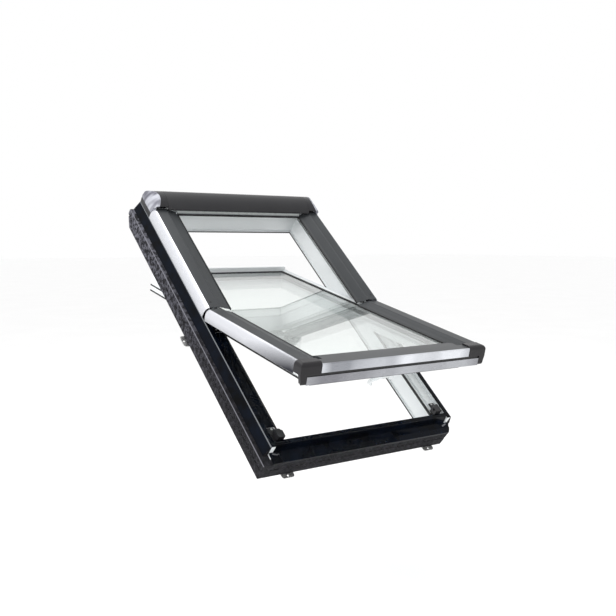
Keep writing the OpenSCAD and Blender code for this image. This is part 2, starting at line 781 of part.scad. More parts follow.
outer_frame();
side_cladding(-1);  // side_cladding_left
side_cladding(1);  // side_cladding_right
sill_cladding();
head_trim();
side_foam(-1);  // insulation_left
side_foam(1);  // insulation_right
insulation_top();
insulation_bottom();
upper_cover(-1);  // upper_cover_left
upper_cover(1);  // upper_cover_right
hood();
hood_cap(-1);  // hood_cap_left
hood_cap(1);  // hood_cap_right
upper_cover_seal();
frame_seal();
lining_seal();
hinge_plate(-1);  // hinge_plate_left
hinge_plate(1);  // hinge_plate_right
hinge_bush(-1);  // hinge_bush_left
hinge_bush(1);  // hinge_bush_right
lock_keeper(-1);  // lock_keeper_left
lock_keeper(1);  // lock_keeper_right
in_roof() strap_at("left") strap(u_foam);  // strap_left
in_roof() strap_at("right") strap(u_foam);  // strap_right
in_roof() strap_at("bottom_left") strap(-v_foam_end);  // strap_bottom_left
in_roof() strap_at("bottom_right") strap(-v_foam_end);  // strap_bottom_right
in_roof() strap_at("top_left") strap(v_foam);  // strap_top_left
in_roof() strap_at("top_right") strap(v_foam);  // strap_top_right
strap_screws();
cover_screws();
sash_frame();
pane(w_glass - pane_t);  // outer_pane
pane(w_unit);  // inner_pane
spacer_bar();
edge_sealant();
glazing_seal();
sash_cover(-1);  // sash_cover_left
sash_cover(1);  // sash_cover_right
bottom_cover();
bottom_groove_seal();
bottom_band();
corner_cap(-1);  // corner_cap_left
corner_cap(1);  // corner_cap_right
sash_cover_seal();
sash_seal_outer();
sash_seal_room();
hinge_arm(-1);  // hinge_arm_left
hinge_arm(1);  // hinge_arm_right
hinge_pin(-1);  // hinge_pin_left
hinge_pin(1);  // hinge_pin_right
lock_case();
handle_base();
handle_axle();
handle_lever();
lock_rod(-1);  // lock_rod_left
lock_rod(1);  // lock_rod_right
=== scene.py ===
import json
import math

import bpy
from mathutils import Matrix, Vector


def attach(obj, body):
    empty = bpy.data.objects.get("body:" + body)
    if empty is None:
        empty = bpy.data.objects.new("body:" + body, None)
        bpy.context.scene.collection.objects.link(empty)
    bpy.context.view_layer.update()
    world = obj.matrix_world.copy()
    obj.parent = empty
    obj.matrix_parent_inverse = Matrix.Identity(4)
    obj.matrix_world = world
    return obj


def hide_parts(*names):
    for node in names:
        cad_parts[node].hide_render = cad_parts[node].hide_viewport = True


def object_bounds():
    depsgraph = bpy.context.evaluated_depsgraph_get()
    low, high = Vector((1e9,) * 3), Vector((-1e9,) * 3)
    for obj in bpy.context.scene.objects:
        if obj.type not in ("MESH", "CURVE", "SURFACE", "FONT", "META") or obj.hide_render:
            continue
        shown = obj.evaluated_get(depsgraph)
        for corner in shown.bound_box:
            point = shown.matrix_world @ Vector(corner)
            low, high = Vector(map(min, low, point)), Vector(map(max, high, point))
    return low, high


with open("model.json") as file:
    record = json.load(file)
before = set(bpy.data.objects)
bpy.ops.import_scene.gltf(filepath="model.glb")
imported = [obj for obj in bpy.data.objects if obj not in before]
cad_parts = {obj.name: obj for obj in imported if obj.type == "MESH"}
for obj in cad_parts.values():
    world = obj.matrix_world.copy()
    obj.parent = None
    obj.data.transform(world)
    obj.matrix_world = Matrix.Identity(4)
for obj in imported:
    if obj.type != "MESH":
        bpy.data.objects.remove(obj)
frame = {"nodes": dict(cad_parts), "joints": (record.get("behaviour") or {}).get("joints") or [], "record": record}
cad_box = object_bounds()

MM = 0.001
CAD = frame["nodes"]

# ---------- planes of the roof, the sash and the handle ----------

JOINTS = {joint["name"]: joint for joint in frame["joints"]}
MOUNTS = {mount["name"]: mount for mount in frame["record"]["mounts"]}
ROOF_NORMAL = Vector(MOUNTS["roof_opening"]["axis"])
PITCH = math.atan2(-ROOF_NORMAL.y, ROOF_NORMAL.z)
SASH_OPEN = -math.radians(JOINTS["sash_pivot"]["range_deg"][0])
HANDLE_OPEN = math.radians(JOINTS["handle_tilt"]["range_deg"][1])


def tilted(place, angle):
    """Plane through a point, turned about the level axis across the window."""
    return Matrix.Translation(place) @ Matrix.Rotation(angle, 4, "X")


ROOF = tilted((0, 0, 0), PITCH)
SASH = tilted(JOINTS["sash_pivot"]["pos_m"], PITCH - SASH_OPEN)
HANDLE = tilted(JOINTS["handle_tilt"]["pos_m"], PITCH - SASH_OPEN - HANDLE_OPEN)


def span(node, plane):
    """Lowest and highest corner of a CAD node, measured along a plane's own axes."""
    into = plane.inverted()
    points = [into @ vertex.co for vertex in CAD[node].data.vertices]
    low = Vector([min(p[i] for p in points) for i in range(3)])
    high = Vector([max(p[i] for p in points) for i in range(3)])
    return low, high


# ---------- node materials ----------

class Finish:
    """A material being put together from nodes, with its shader at hand."""

    def __init__(self, name):
        self.material = bpy.data.materials.new(name)
        self.material.use_nodes = True
        self.tree = self.material.node_tree
        self.shader = self.tree.nodes["Principled BSDF"]
        self.place = self.add("ShaderNodeTexCoord").outputs["Object"]

    def add(self, kind, settings=None, **inputs):
        node = self.tree.nodes.new(kind)
        for key, value in (settings or {}).items():
            setattr(node, key, value)
        for key, value in inputs.items():
            self.set(node.inputs[key.replace("_", " ")], value)
        return node

    def set(self, socket, value):
        if isinstance(value, bpy.types.NodeSocket):
            self.tree.links.new(value, socket)
        else:
            socket.default_value = value

    def shade(self, **values):
        for key, value in values.items():
            self.set(self.shader.inputs[key.replace("_", " ")], value)

    def turned(self, angle, scale=(1, 1, 1)):
        """Object coordinates along a tilted plane's own axes."""
        turn = self.add("ShaderNodeMapping", Vector=self.place)
        turn.inputs["Rotation"].default_value = (-angle, 0, 0)
        stretch = self.add("ShaderNodeMapping", Vector=turn.outputs[0])
        stretch.inputs["Scale"].default_value = scale
        return stretch.outputs[0]

    def noise(self, scale, detail=2.0, vector=None):
        node = self.add("ShaderNodeTexNoise", Vector=vector or self.place,
                        Scale=scale, Detail=detail)
        return node.outputs["Fac"]

    def cells(self, scale, vector=None, feature="F1"):
        node = self.add("ShaderNodeTexVoronoi", {"feature": feature},
                        Vector=vector or self.place, Scale=scale)
        return node.outputs["Distance"]

    def ramp(self, value, *stops):
        """Colour that follows a value through (position, colour) stops."""
        node = self.add("ShaderNodeValToRGB", Fac=value)
        ramp = node.color_ramp
        while len(ramp.elements) < len(stops):
            ramp.elements.new(0.5)
        for element, (position, colour) in zip(ramp.elements, stops):
            element.position = position
            element.color = (*colour, 1)
        return node.outputs["Color"]

    def range(self, value, low, high, to_low=0.0, to_high=1.0):
        node = self.add("ShaderNodeMapRange")
        for key, number in zip(("Value", "From Min", "From Max", "To Min", "To Max"),
                               (value, low, high, to_low, to_high)):
            self.set(node.inputs[key], number)
        return node.outputs["Result"]

    def math(self, operation, first, second=0.0):
        node = self.add("ShaderNodeMath", {"operation": operation})
        self.set(node.inputs[0], first)
        self.set(node.inputs[1], second)
        return node.outputs[0]

    def axis(self, name, vector=None):
        return self.add("ShaderNodeSeparateXYZ", Vector=vector or self.place).outputs[name]

    def mix(self, amount, first, second):
        node = self.add("ShaderNodeMix", {"data_type": "RGBA"})
        self.set(node.inputs["Factor"], amount)
        self.set(node.inputs["A"], first)
        self.set(node.inputs["B"], second)
        return node.outputs["Result"]

    def bump(self, height, strength, distance):
        node = self.add("ShaderNodeBump", Height=height, Strength=strength, Distance=distance)
        self.shade(Normal=node.outputs[0])


def shade_of(colour, factor):
    return tuple(min(1.0, c * factor) for c in colour)


def varied(finish, colour, spread, scale):
    """Colour that drifts a little, as a coating does."""
    return finish.ramp(finish.noise(scale, 3),
                       (0.3, shade_of(colour, 1 - spread)), (0.7, shade_of(colour, 1 + spread)))


def cover_coating(name, flank_reflection_shade):
    """Matt anthracite coating on a cover's top; its flank carries a painted reflection in bright metallic silver,
    with painted shade along the slope.
    """
    finish = Finish(name)
    across = finish.math("ABSOLUTE", finish.axis("X"))
    edge = span("upper_cover_right", ROOF)[1].x
    flank = finish.range(across, edge - 14.5 * MM, edge - 12.5 * MM)
    coat = varied(finish, (0.028, 0.031, 0.034), 0.10, 9)
    brushed = finish.noise(60, 4, finish.turned(PITCH, (40, 1, 40)))
    # painted reflection: the flank's bright silver stands in for the studio light it reflects
    metal = finish.mix(finish.range(brushed, 0.3, 0.7),
                       (0.60, 0.61, 0.66, 1), (0.86, 0.87, 0.90, 1))
    # painted shade dims the painted reflection along the flank
    shaded_reflection = finish.mix(flank_reflection_shade(finish), (0.035, 0.036, 0.046, 1), metal)
    grain = finish.noise(1400, 2)
    finish.shade(Base_Color=finish.mix(flank, coat, shaded_reflection), Metallic=finish.range(flank, 0, 1, 0, 0.85),
                 Specular_IOR_Level=0.32,
                 Roughness=finish.math("ADD", finish.range(flank, 0, 1, 0.42, 0.26),
                                       finish.range(grain, 0.3, 0.7, 0, 0.06)))
    finish.bump(grain, 0.25, 0.0003)
    return finish.material


def make_upper_cover_coating():
    return cover_coating("upper_cover_coating", lambda finish: 1.0)


def make_sash_cover_coating():
    """The flank's painted reflection darkens towards the foot of the sash and lower down the flank, as painted
    shade.
    """
    turn = PITCH - SASH_OPEN
    low, high = span("sash_cover_left", tilted((0, 0, 0), turn))

    def flank_reflection_shade(finish):
        # painted shade: darker towards the foot of the sash and lower down the flank
        place = finish.turned(turn)
        along = finish.range(finish.axis("Y", place), low.y + 20 * MM, low.y + 260 * MM, 0.12, 0.95)
        upright = finish.range(finish.axis("Z", place), high.z - 42 * MM, high.z - 4 * MM, -0.25, 0.30)
        tone = finish.math("ADD", along, upright)
        return finish.math("MINIMUM", finish.math("MAXIMUM", tone, 0.0), 1.0)
    return cover_coating("sash_cover_coating", flank_reflection_shade)


def make_hood_coating():
    finish = Finish("hood_coating")
    grain = finish.noise(1400, 2)
    finish.shade(Base_Color=varied(finish, (0.020, 0.020, 0.022), 0.12, 7), Specular_IOR_Level=0.28,
                 Roughness=finish.range(grain, 0.3, 0.7, 0.38, 0.46))
    finish.bump(grain, 0.25, 0.0003)
    return finish.material


def cap_plastic(name, colour):
    """Moulded cap: dark, with a fine spark-eroded grain."""
    finish = Finish(name)
    grain = finish.cells(1500)
    finish.shade(Base_Color=varied(finish, colour, 0.15, 14), Specular_IOR_Level=0.26,
                 Roughness=finish.range(grain, 0, 0.6, 0.42, 0.30))
    finish.bump(grain, 0.3, 0.0003)
    return finish


def make_corner_plastic():
    return cap_plastic("corner_plastic", (0.014, 0.013, 0.015)).material


def make_hood_cap_plastic():
    """The hood's end caps: dark on the crest, with a metallised side that leans in."""
    finish = cap_plastic("hood_cap_plastic", (0.018, 0.018, 0.020))
    high = span("hood_cap_right", ROOF)[1]
    side_lean = 0.651  # inward lean of the side for each unit of height
    upright = finish.math("SUBTRACT", finish.axis("Z", finish.turned(PITCH)), high.z)
    across = finish.math("ABSOLUTE", finish.axis("X"))
    lean = finish.math("ADD", across, finish.math("MULTIPLY", upright, side_lean))
    side = finish.range(lean, high.x - 34 * MM, high.x - 32 * MM)
    dark = varied(finish, (0.018, 0.018, 0.020), 0.15, 14)
    bright = finish.ramp(finish.noise(16, 1, finish.turned(PITCH, (1, 2.5, 0.6))),
                         (0.38, (0.16, 0.16, 0.19)), (0.60, (0.50, 0.51, 0.56)))
    finish.shade(Base_Color=finish.mix(side, dark, bright), Metallic=finish.range(side, 0, 1, 0, 0.6))
    return finish.material


def make_bright_metal():
    """Anodised aluminium, brushed along its length."""
    finish = Finish("bright_anodised")
    brushed = finish.noise(55, 4, finish.turned(PITCH - SASH_OPEN, (1, 40, 40)))
    broad = finish.noise(5, 1, finish.turned(PITCH - SASH_OPEN, (1, 0.2, 0.2)))
    dull = finish.ramp(brushed, (0.3, (0.17, 0.17, 0.19)), (0.7, (0.26, 0.26, 0.28)))
    clear = finish.ramp(brushed, (0.3, (0.34, 0.35, 0.37)), (0.7, (0.50, 0.51, 0.54)))
    finish.shade(Base_Color=finish.mix(finish.range(broad, 0.35, 0.65), dull, clear),
                 Metallic=0.9, Roughness=finish.range(brushed, 0.3, 0.7, 0.24, 0.34))
    finish.bump(brushed, 0.08, 0.0002)
    return finish.material


def make_bottom_cover_metal():
    """The sash's bottom cover: anthracite on its top and slope; its front carries a painted reflection in brushed
    bright silver.
    """
    finish = Finish("bottom_cover_metal")
    place = finish.turned(PITCH - SASH_OPEN)
    low = span("bottom_cover", tilted((0, 0, 0), PITCH - SASH_OPEN))[0]
    front = finish.range(finish.axis("Y", place), low.y + 3.2 * MM, low.y + 2.2 * MM)
    brushed = finish.noise(55, 4, finish.turned(PITCH - SASH_OPEN, (1, 40, 40)))
    broad = finish.noise(6, 1, finish.turned(PITCH - SASH_OPEN, (1, 0.2, 0.2)))
    # painted reflection: the bright front stands in for the studio light it reflects
    bright = finish.mix(finish.range(broad, 0.38, 0.62),
                        finish.ramp(brushed, (0.3, (0.22, 0.23, 0.25)), (0.7, (0.34, 0.35, 0.38))),
                        finish.ramp(brushed, (0.3, (0.62, 0.64, 0.68)), (0.7, (0.86, 0.88, 0.92))))
    coat = varied(finish, (0.034, 0.037, 0.040), 0.10, 9)
    finish.shade(Base_Color=finish.mix(front, coat, bright), Metallic=finish.range(front, 0, 1, 0, 0.85),
                 Roughness=finish.range(front, 0, 1, 0.42, 0.26))
    finish.bump(brushed, 0.08, 0.0002)
    return finish.material


def make_trim_metal():
    """Trim under the hood: a bright upper edge, a grey bevel and a black foot line."""
    finish = Finish("trim_metal")
    high = span("head_trim", ROOF)[1]
    level = finish.range(finish.axis("Z", finish.turned(PITCH)), high.z - 19 * MM, high.z)
    colour = finish.ramp(level, (0.10, (0.004, 0.004, 0.005)), (0.16, (0.17, 0.18, 0.19)),
                         (0.45, (0.42, 0.45, 0.44)), (0.80, (0.20, 0.21, 0.22)),
                         (0.90, (0.86, 0.87, 0.88)))
    grain = finish.noise(60, 3, finish.turned(PITCH, (1, 30, 30)))
    finish.shade(Base_Color=colour, Metallic=0.4, Roughness=finish.range(grain, 0.3, 0.7, 0.24, 0.34))
    finish.bump(grain, 0.08, 0.0002)
    return finish.material


def make_gloss_black():
    """Polished black cladding with a faint blue depth and a painted highlight, a thin grey line along its outer
    edge.
    """
    finish = Finish("gloss_black")
    waves = finish.noise(22, 2)
    black = finish.ramp(waves, (0.3, (0.0008, 0.001, 0.0015)), (0.7, (0.002, 0.004, 0.009)))
    high = span("outer_frame", ROOF)[1]
    # painted highlight: a thin grey line where the cladding's outer edge catches the light
    across = finish.math("ABSOLUTE", finish.axis("X"))
    past = finish.range(across, high.x + 1.6 * MM, high.x + 2.2 * MM)
    short = finish.range(across, high.x + 4.6 * MM, high.x + 4.0 * MM)
    edge = finish.math("MULTIPLY", past, short)
    finish.shade(Base_Color=finish.mix(edge, black, (0.16, 0.17, 0.18, 1)), Specular_IOR_Level=0.07,
                 Roughness=finish.range(finish.noise(300, 2), 0.3, 0.7, 0.10, 0.18))
    finish.bump(waves, 0.10, 0.002)
    return finish.material


def make_frame_plastic():
    """White plastic with a silky skin."""
    finish = Finish("frame_plastic")
    skin = finish.noise(900, 2)
    finish.shade(Base_Color=varied(finish, (0.80, 0.83, 0.84), 0.02, 6),
                 Roughness=finish.range(skin, 0.3, 0.7, 0.26, 0.34), Coat_Weight=0.2)
    finish.bump(skin, 0.10, 0.0002)
    return finish.material


def shadowed(finish, tone):
    """A foam tone at half its strength."""
    return finish.mix(0.55, tone, (0.002, 0.002, 0.003, 1))


# wear patches darkened by painted shade, for the foot of the foam
def worn_patches_in_shade(finish, patches):
    return finish.ramp(patches, (0.46, (0.003, 0.003, 0.004)), (0.62, (0.036, 0.035, 0.043)))


def make_foam():
    """Expanded foam: fused beads with dark gaps, painted shade towards its foot, and a pale line along the
    shoulder's edge.
    """
    finish = Finish("bead_foam")
    low, high = span("insulation_left", ROOF)
    beads = finish.cells(260)
    patches = finish.noise(70, 4)
    gaps = finish.cells(260, feature="DISTANCE_TO_EDGE")
    tone = finish.ramp(gaps, (0.0, (0.004, 0.004, 0.005)), (0.12, (0.026, 0.026, 0.030)),
                       (0.5, (0.060, 0.060, 0.068)))
    worn = finish.ramp(patches, (0.44, (0.008, 0.008, 0.011)), (0.58, (0.15, 0.15, 0.18)))
    # painted shade: the foam is darker towards its foot and lighter towards the top
    pale = finish.range(finish.axis("Y", finish.turned(PITCH)),
                        low.y + 250 * MM, high.y - 100 * MM, 0.0, 1.0)
    body = finish.mix(pale, finish.mix(0.35, shadowed(finish, tone), worn_patches_in_shade(finish, patches)),
                      finish.mix(0.70, tone, worn))
    across = finish.math("ABSOLUTE", finish.axis("X"))
    outer = finish.range(across, -low.x - 3.2 * MM, -low.x - 2.4 * MM)
    level = finish.axis("Z", finish.turned(PITCH))
    shoulder = low.z + 60 * MM
    upper = finish.range(level, shoulder - 2.4 * MM, shoulder - 1.4 * MM)
    line = finish.math("MULTIPLY", outer, upper)
    finish.shade(Base_Color=finish.mix(line, body, (0.15, 0.15, 0.17, 1)), Specular_IOR_Level=0.2,
                 Roughness=finish.range(beads, 0, 0.6, 0.55, 0.85))
    finish.bump(finish.math("MULTIPLY", beads, -1.0), 0.6, 0.0012)
    return finish.material


def make_rubber():
    finish = Finish("seal_rubber")
    skin = finish.noise(700, 3)
    finish.shade(Base_Color=varied(finish, (0.010, 0.010, 0.011), 0.25, 40),
                 Roughness=finish.range(skin, 0.3, 0.7, 0.45, 0.62))
    finish.bump(skin, 0.2, 0.0003)
    return finish.material


def make_hinge_black():
    """Cast hinge parts under a satin black coat."""
    finish = Finish("hinge_black")
    skin = finish.noise(500, 4)
    finish.shade(Base_Color=varied(finish, (0.012, 0.012, 0.014), 0.2, 30), Metallic=0.3,
                 Roughness=finish.range(skin, 0.3, 0.7, 0.28, 0.42))
    finish.bump(skin, 0.25, 0.0004)
    return finish.material


def make_zinc():
    """Zinc-plated steel with its faint crystal pattern."""
    finish = Finish("zinc_plate")
    crystals = finish.cells(160)
    finish.shade(Base_Color=finish.ramp(crystals, (0.1, (0.42, 0.43, 0.44)), (0.6, (0.58, 0.58, 0.57))),
                 Metallic=0.95, Roughness=finish.range(crystals, 0, 0.7, 0.26, 0.44))
    finish.bump(finish.noise(600, 3), 0.12, 0.0003)
    return finish.material


def make_bush_plastic():
    finish = Finish("bush_plastic")
    finish.shade(Base_Color=varied(finish, (0.10, 0.10, 0.095), 0.1, 80),
                 Roughness=finish.range(finish.noise(400, 2), 0.3, 0.7, 0.4, 0.5))
    return finish.material


def make_glass():
    """Clear float glass, faintly green."""
    finish = Finish("float_glass")
    ripple = finish.noise(2.2, 1)
    tint = finish.ramp(ripple, (0.3, (0.955, 0.985, 0.972)), (0.7, (0.97, 0.99, 0.982)))
    finish.shade(Base_Color=tint,
                 Roughness=0.0, IOR=1.5, Transmission_Weight=1.0)
    return finish.material


def make_spacer():
    """Spacer bar of the glazing, in satin metal."""
    finish = Finish("spacer_satin")
    brushed = finish.noise(300, 2)
    finish.shade(Base_Color=finish.ramp(brushed, (0.3, (0.56, 0.57, 0.58)), (0.7, (0.70, 0.71, 0.71))),
                 Metallic=0.8, Roughness=finish.range(brushed, 0.3, 0.7, 0.30, 0.42))
    return finish.material


UPPER_COVER = make_upper_cover_coating()
SASH_COVER = make_sash_cover_coating()
HOOD = make_hood_coating()
CORNER = make_corner_plastic()
HOOD_CAP = make_hood_cap_plastic()
BOTTOM = make_bottom_cover_metal()
TRIM = make_trim_metal()
BRIGHT = make_bright_metal()
BLACK = make_gloss_black()
PLASTIC = make_frame_plastic()
FOAM = make_foam()
RUBBER = make_rubber()
HINGE = make_hinge_black()
ZINC = make_zinc()
BUSH = make_bush_plastic()
GLASS = make_glass()
SPACER = make_spacer()

NODE_FINISH = {
    PLASTIC: ["outer_frame", "sash_frame", "handle_base", "handle_lever"],
    BLACK: ["side_cladding_left", "side_cladding_right", "sill_cladding"],
    BRIGHT: ["bottom_band"],
    BOTTOM: ["bottom_cover"],
    TRIM: ["head_trim"],
    FOAM: ["insulation_left", "insulation_right", "insulation_top", "insulation_bottom"],
    UPPER_COVER: ["upper_cover_left", "upper_cover_right"],
    SASH_COVER: ["sash_cover_left", "sash_cover_right"],
    HOOD: ["hood"],
    CORNER: ["corner_cap_left", "corner_cap_right"],
    HOOD_CAP: ["hood_cap_left", "hood_cap_right"],
    RUBBER: ["upper_cover_seal", "frame_seal", "lining_seal", "edge_sealant", "glazing_seal",
             "bottom_groove_seal", "sash_cover_seal", "sash_seal_outer", "sash_seal_room"],
    HINGE: ["hinge_plate_left", "hinge_plate_right", "hinge_arm_left", "hinge_arm_right",
            "lock_keeper_left", "lock_keeper_right", "cover_screws"],
    BUSH: ["hinge_bush_left", "hinge_bush_right"],
    ZINC: ["strap_left", "strap_right", "strap_bottom_left", "strap_bottom_right", "strap_top_left",
           "strap_top_right", "strap_screws", "hinge_pin_left", "hinge_pin_right", "lock_case",
           "handle_axle", "lock_rod_left", "lock_rod_right"],
    GLASS: ["outer_pane", "inner_pane"],
    SPACER: ["spacer_bar"],
}


def paint(piece, material):
    piece.data.materials.clear()
    piece.data.materials.append(material)


for material, names in NODE_FINISH.items():
    for name in names:
        paint(CAD[name], material)

# ---------- rounded versions of the CAD pieces ----------

NODE_BODY = {name: body for body, names in frame["record"]["behaviour"]["bodies"].items()
             for name in names}
NODE_SLOT = {entry["node"]: entry["material_slot"] for entry in frame["record"]["subparts"]}


def select_only(piece):
    bpy.ops.object.select_all(action="DESELECT")
    piece.select_set(True)
    bpy.context.view_layer.objects.active = piece


def apply_modifiers(piece):
    select_only(piece)
    for modifier in list(piece.modifiers):
        bpy.ops.object.modifier_apply(modifier=modifier.name)


SHARP_ANGLE = math.radians(32)
WINDOW_RINGS = ("outer_frame", "sash_frame", "lining_seal", "sash_seal_outer", "sash_seal_room")


def merged_copy(node):
    """Copy of a CAD node with its triangles joined up, into whole faces where they make no ring."""
    piece = CAD[node].copy()
    piece.data = CAD[node].data.copy()
    piece.name = node + "_made"
    for key in list(piece.keys()):
        del piece[key]
    piece.parent = None
    bpy.context.scene.collection.objects.link(piece)
    select_only(piece)
    bpy.ops.object.mode_set(mode="EDIT")
    bpy.ops.mesh.select_all(action="SELECT")
    bpy.ops.mesh.remove_doubles(threshold=0.000005)
    if node not in WINDOW_RINGS:
        bpy.ops.mesh.dissolve_limited(angle_limit=math.radians(0.5))
    bpy.ops.object.mode_set(mode="OBJECT")
    return piece


def level_shading(piece):
    """Smooth the broken edges and keep the broad faces flat between them."""
    select_only(piece)
    bpy.ops.object.shade_smooth_by_angle(angle=math.radians(40))
    flat = piece.modifiers.new("flat_faces", "WEIGHTED_NORMAL")
    flat.keep_sharp = True
    apply_modifiers(piece)


def rounded(node, width_mm):
    """The CAD node again with its sharp edges broken, as pressing and moulding leave them."""
    piece = merged_copy(node)
    edge = piece.modifiers.new("broken_edges", "BEVEL")
    edge.width = width_mm * MM
    edge.segments = 2
    edge.limit_method = "ANGLE"
    edge.angle_limit = SHARP_ANGLE
    edge.miter_outer = "MITER_ARC"
    apply_modifiers(piece)
    level_shading(piece)
    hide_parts(node)
    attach(piece, NODE_BODY[node])
    return piece


ROUNDING = {
    0.35: ["upper_cover_left", "upper_cover_right", "sash_cover_left", "sash_cover_right",
           "bottom_cover", "bottom_band", "head_trim", "hood"],
    0.5: ["side_cladding_left", "side_cladding_right", "sill_cladding", "strap_left", "strap_right",
          "strap_bottom_left", "strap_bottom_right", "strap_top_left", "strap_top_right"],
    0.6: ["hood_cap_left", "hood_cap_right", "corner_cap_left", "corner_cap_right",
          "hinge_plate_left", "hinge_plate_right", "hinge_arm_left", "hinge_arm_right",
          "handle_base", "frame_seal", "lining_seal", "sash_seal_outer", "sash_seal_room"],
    0.8: ["outer_frame", "sash_frame"],
    1.0: ["lock_keeper_left", "lock_keeper_right"],
    1.2: ["insulation_left", "insulation_right", "insulation_top", "insulation_bottom"],
    0.2: ["outer_pane", "inner_pane"],
}
for width_mm, names in ROUNDING.items():
    for name in names:
        rounded(name, width_mm)

# ---------- fittings and moulded details ----------

def settle(piece, matrix, material, slot, body):
    """Put a modelled piece in its place for good, and hand it to its body."""
    piece.data.transform(matrix)
    paint(piece, material)
    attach(piece, body)
    return piece


def own_copy(piece, name):
    twin = piece.copy()
    twin.data = piece.data.copy()
    twin.name = name
    bpy.context.scene.collection.objects.link(twin)
    return twin


def joined(pieces, name):
    bpy.ops.object.select_all(action="DESELECT")
    for piece in pieces:
        piece.select_set(True)
    bpy.context.view_layer.objects.active = pieces[0]
    bpy.ops.object.join()
    whole = bpy.context.active_object
    whole.name = name
    return whole


def add_cube(name, size, place=(0, 0, 0)):
    bpy.ops.object.select_all(action="DESELECT")
    bpy.ops.mesh.primitive_cube_add(size=1, location=place)
    piece = bpy.context.active_object
    piece.name = name
    piece.scale = size
    bpy.ops.object.transform_apply(location=True, rotation=True, scale=True)
    return piece


def add_modifier(piece, kind, **settings):
    modifier = piece.modifiers.new(kind.lower(), kind)
    for key, value in settings.items():
        setattr(modifier, key, value)
    return modifier


def break_edges(piece, width_mm, segments=2):
    add_modifier(piece, "BEVEL", width=width_mm * MM, segments=segments, limit_method="ANGLE",
                 angle_limit=SHARP_ANGLE)


def pick_faces(piece, wanted):
    """Select the faces of a piece whose middle and normal pass a test, and go into edit mode."""
    select_only(piece)
    bpy.ops.object.mode_set(mode="EDIT")
    bpy.ops.mesh.select_mode(type="FACE")
    bpy.ops.mesh.select_all(action="DESELECT")
    bpy.ops.object.mode_set(mode="OBJECT")
    for face in piece.data.polygons:
        face.select = wanted(face.center, face.normal)
    bpy.ops.object.mode_set(mode="EDIT")


def push_faces(piece, wanted, inset, offset):
    """Inset the picked faces and move the inner ones out or in."""
    pick_faces(piece, wanted)
    bpy.ops.mesh.inset(thickness=inset)
    bpy.ops.mesh.extrude_region_move(TRANSFORM_OT_translate={"value": offset})
    bpy.ops.object.mode_set(mode="OBJECT")


def model_screw(name, head_r, head_t, shank_r, shank):
    """Pan-head screw with a round recess, its head standing on the origin."""
    bpy.ops.object.select_all(action="DESELECT")
    bpy.ops.mesh.primitive_cylinder_add(vertices=24, radius=head_r, depth=head_t,
                                        location=(0, 0, head_t / 2))
    screw = bpy.context.active_object
    screw.name = name
    bpy.ops.object.transform_apply(location=True, rotation=True, scale=True)
    push_faces(screw, lambda c, n: n.z > 0.9, head_r * 0.55, (0, 0, -head_t * 0.6))
    push_faces(screw, lambda c, n: n.z < -0.9, head_r - shank_r, (0, 0, -shank))
    break_edges(screw, head_t * 160)
    apply_modifiers(screw)
    level_shading(screw)
    return screw


FACING_OUT = Matrix.Rotation(math.radians(90), 4, "Y")


def spread(pattern, name, matrices, material, slot, body):
    """Copies of one modelled piece, joined into one."""
    copies = []
    for index, matrix in enumerate(matrices):
        twin = own_copy(pattern, f"{name}_{index}")
        twin.data.transform(matrix)
        copies.append(twin)
    return settle(joined(copies, name), Matrix.Identity(4), material, slot, body)


def make_screws():
    at = Matrix.Translation
    screw = model_screw("fitting_screw", 3.6 * MM, 1.8 * MM, 1.8 * MM, 3 * MM)
    low, high = span("hinge_plate_right", ROOF)
    keeper_low, keeper_high = span("lock_keeper_right", ROOF)
    sash_low, sash_high = span("hinge_arm_right", SASH)
    for side, word in ((-1, "left"), (1, "right")):
        middle = (low.x + high.x) / 2
        spread(screw, f"hinge_plate_screws_{word}",
               [ROOF @ at((side * middle, y, low.z + 4 * MM))
                for y in (low.y + 10 * MM, low.y + 24 * MM, high.y - 26 * MM, high.y - 10 * MM)],
               ZINC, "zinc_steel", "frame")
        spread(screw, f"keeper_screws_{word}",
               [ROOF @ at((side * (keeper_low.x + 20 * MM), keeper_high.y - 6 * MM, keeper_low.z + 4 * MM))],
               ZINC, "zinc_steel", "frame")
        turn = FACING_OUT if side > 0 else Matrix.Rotation(math.pi, 4, "Z") @ FACING_OUT
        spread(screw, f"hinge_arm_screws_{word}",
               [SASH @ at((side * (sash_low.x + 4 * MM), y, sash_low.z + 12 * MM)) @ turn
                for y in (sash_low.y + 10 * MM, sash_high.y - 26 * MM, sash_high.y - 10 * MM)],
               ZINC, "zinc_steel", "sash")
    low, high = span("cover_screws", ROOF)
    head = model_screw("cover_screw", 3.5 * MM, 0.8 * MM, 1.9 * MM, 11.5 * MM)
    heads = spread(head, "cover_screws_made",
                   [ROOF @ at((side * (high.x - 3.5 * MM), (low.y + high.y) / 2, high.z - 0.8 * MM))
                    for side in (-1, 1)], RUBBER, NODE_SLOT["cover_screws"], "frame")
    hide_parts("cover_screws")
    bpy.data.objects.remove(screw)
    bpy.data.objects.remove(head)


